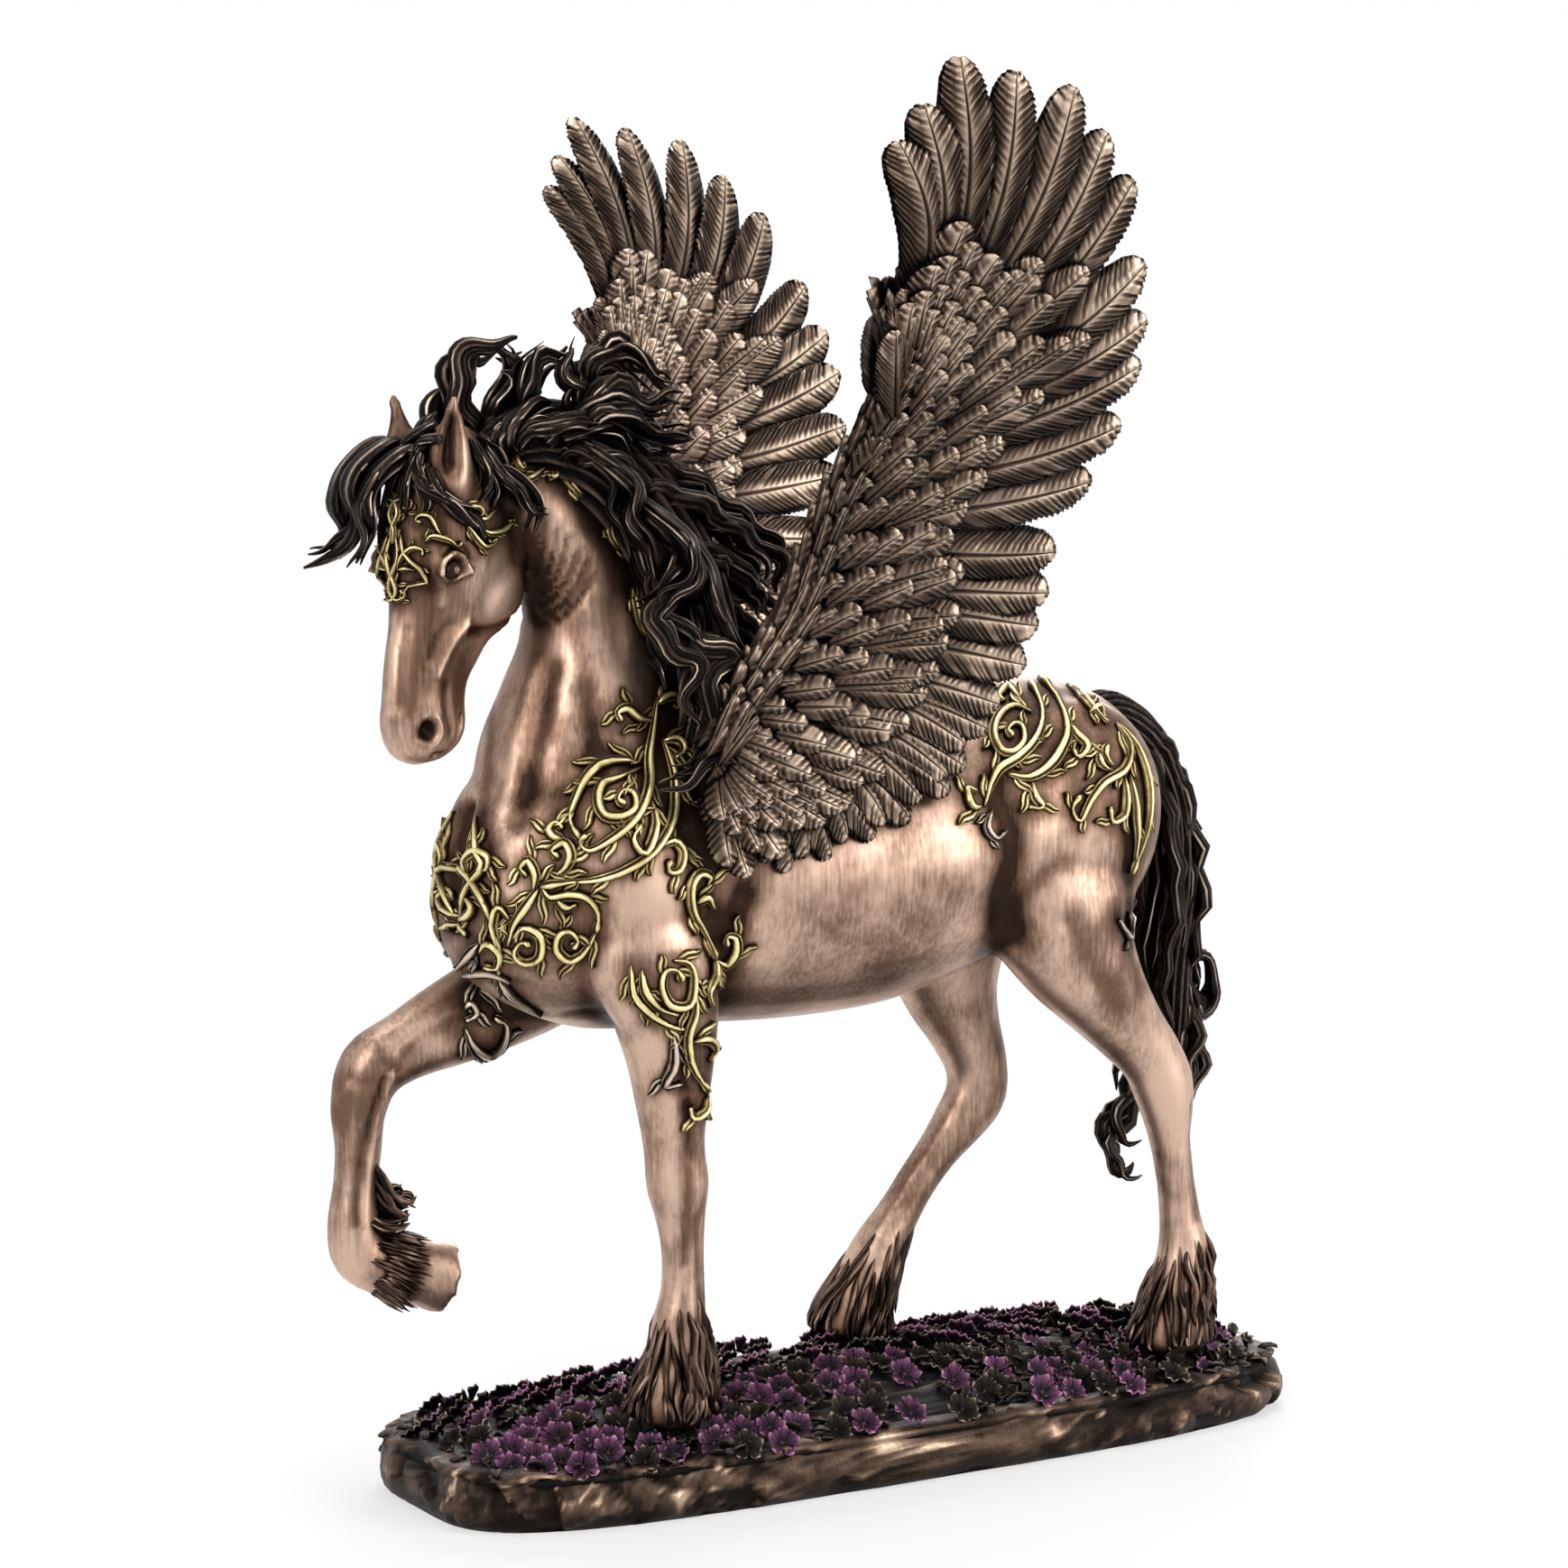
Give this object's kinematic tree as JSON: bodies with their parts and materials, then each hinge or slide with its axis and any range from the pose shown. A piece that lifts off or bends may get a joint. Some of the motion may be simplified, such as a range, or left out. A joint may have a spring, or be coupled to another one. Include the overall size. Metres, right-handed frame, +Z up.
{
  "type": "winged horse figurine",
  "caption": "Standing winged horse with a raised foreleg and open wings, cast in one piece with its flower-covered rock base.",
  "frame": {"origin": "middle of the base's flat underside", "axes": "+Z up; the horse walks towards -X, its left side faces -Y"},
  "size_m": [0.2341, 0.1676, 0.3011],
  "materials": {
    "bronze_patina": "bronze coating over resin, rubbed bright on the high places",
    "dark_bronze": "dark patina with light rubbed edges, on wings, hair, hooves and rock",
    "antique_gold": "gold paint rubbed over raised scrollwork",
    "violet_paint": "violet paint on the blossoms, satin"
  },
  "bodies": {
    "root": {"pegasus_figurine": "bronze_patina"}
  },
  "joints": []
}
